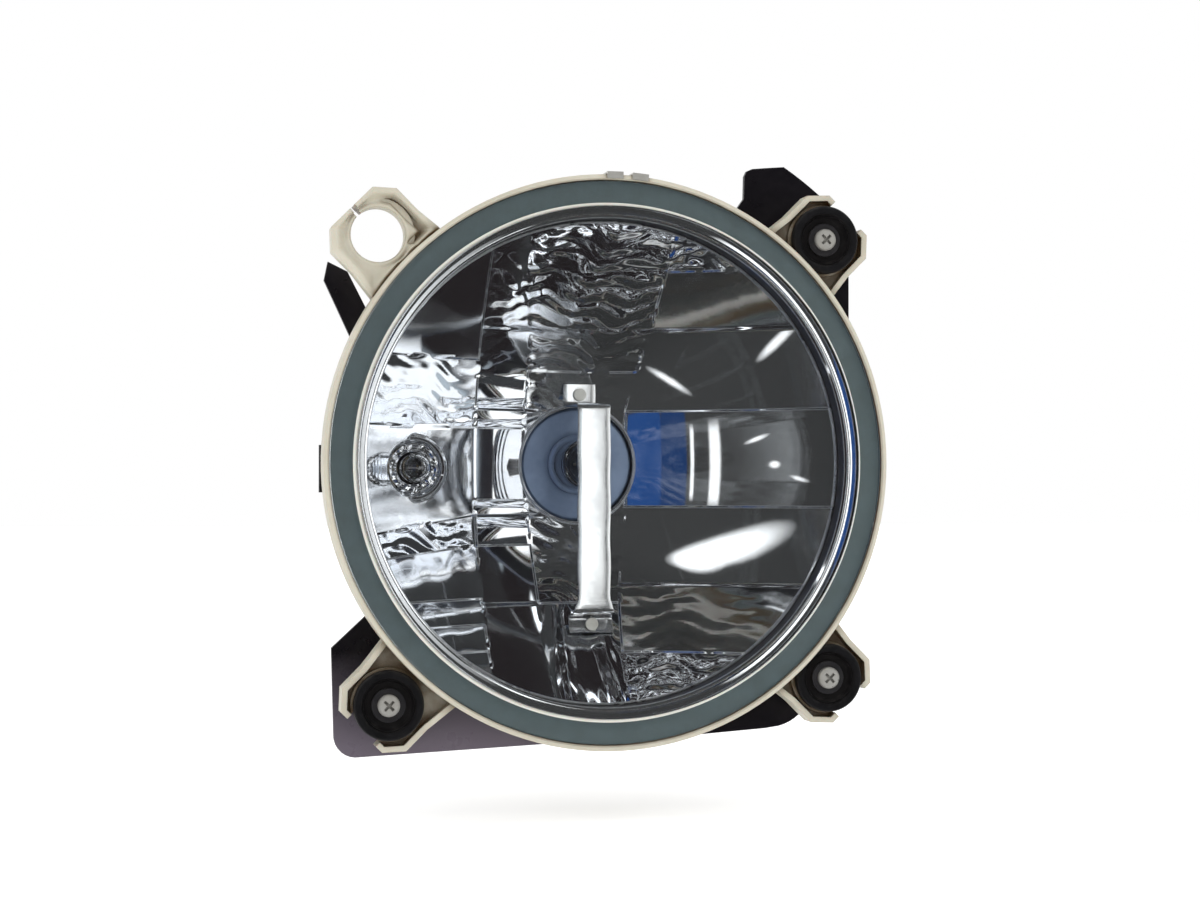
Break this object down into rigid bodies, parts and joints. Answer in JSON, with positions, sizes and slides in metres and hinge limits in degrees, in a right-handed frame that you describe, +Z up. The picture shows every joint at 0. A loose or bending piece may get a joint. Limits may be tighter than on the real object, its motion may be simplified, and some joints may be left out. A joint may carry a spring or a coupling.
{
  "type": "round fog lamp with bracket",
  "caption": "Round clear-lens fog lamp: cream housing with clip ears and rubber grommets, facet reflector, bulb, position lamp, twist-off rear cap and a black steel bracket with aim adjuster.",
  "frame": {"origin": "centre of the four vehicle bolt holes, on the rear face of the mounting feet and on the lamp's axis", "axes": "+X to the viewer's right when facing the lens, +Y rearwards into the vehicle, +Z up; the lens faces -Y"},
  "size_m": [0.182, 0.1199, 0.1918],
  "materials": {
    "black_paint": "semi-gloss",
    "zinc": "bright zinc plate",
    "black_plastic": "satin",
    "nylon": "natural",
    "cream_plastic": "satin, as moulded",
    "clear_lens": "polished",
    "sealant": "satin",
    "reflector_metal": "vacuum aluminised",
    "bright_steel": "polished",
    "bulb_cap_metal": "dark satin",
    "bulb_quartz": "polished",
    "tungsten": "drawn wire",
    "brass": "tinned",
    "lead_rubber": "insulation",
    "black_rubber": "moulded",
    "spring_steel": "bright wire"
  },
  "bodies": {
    "bracket_assembly": {"bracket_plate": "black_paint", "mounting_feet": "black_paint", "foot_nuts": "zinc", "pivot_sleeve_left": "black_plastic", "pivot_sleeve_right": "black_plastic", "pivot_screw_left": "zinc", "pivot_screw_right": "zinc", "pivot_nuts": "zinc", "adjuster_nut": "nylon"},
    "lamp_head": {"housing": "cream_plastic", "lens": "clear_lens", "lens_sealant": "sealant", "lens_clips": "zinc", "reflector": "reflector_metal", "glare_shield": "bright_steel", "shield_rivets": "zinc", "bulb_base": "bulb_cap_metal", "bulb_glass": "bulb_quartz", "bulb_filament": "tungsten", "bulb_terminals": "brass", "bulb_plug": "black_plastic", "bulb_leads": "lead_rubber", "clip_saddle": "zinc", "clip_screw": "zinc", "connector_housing": "black_plastic", "connector_pins": "brass", "grommet_upper": "black_rubber", "grommet_left": "black_rubber", "grommet_right": "black_rubber", "adjuster_bushing": "black_plastic"},
    "adjuster": {"adjuster_screw": "zinc", "adjuster_clip": "spring_steel"},
    "rear_cover": {"rear_cap": "black_plastic", "rear_cap_seal": "black_rubber", "breather": "black_rubber"},
    "position_lamp": {"position_bulb_holder": "black_plastic", "position_bulb_seal": "black_rubber", "position_bulb_glass": "bulb_quartz", "position_bulb_filament": "tungsten", "position_contacts": "brass"},
    "bulb_spring": {"bulb_clip": "spring_steel"}
  },
  "joints": [
    {"name": "aim_tilt", "type": "hinge", "parent": "bracket_assembly", "child": "lamp_head", "pos_m": [-0.0704, -0.0384, -0.0755], "axis": [0.9991, 0, 0.042], "range_deg": [-1.5, 1.5]},
    {"name": "adjuster_turn", "type": "hinge", "parent": "lamp_head", "child": "adjuster", "pos_m": [0.0713, -0.0384, 0.0724], "axis": [0, 1, 0], "range_deg": [-956, 956]},
    {"name": "rear_cap_twist", "type": "hinge", "parent": "lamp_head", "child": "rear_cover", "pos_m": [0, 0.03, 0], "axis": [0, 1, 0], "range_deg": [0, 35]},
    {"name": "position_bulb_twist", "type": "hinge", "parent": "lamp_head", "child": "position_lamp", "pos_m": [-0.0594, 0, -0.0017], "axis": [0, 1, 0], "range_deg": [0, 60]},
    {"name": "bulb_clip_swing", "type": "hinge", "parent": "lamp_head", "child": "bulb_spring", "pos_m": [0, 0.0192, 0.029], "axis": [1, 0, 0], "range_deg": [0, 20]}
  ],
  "couplings": [
    {"joint": "adjuster_turn", "follows": "aim_tilt", "ratio": -636.5}
  ]
}
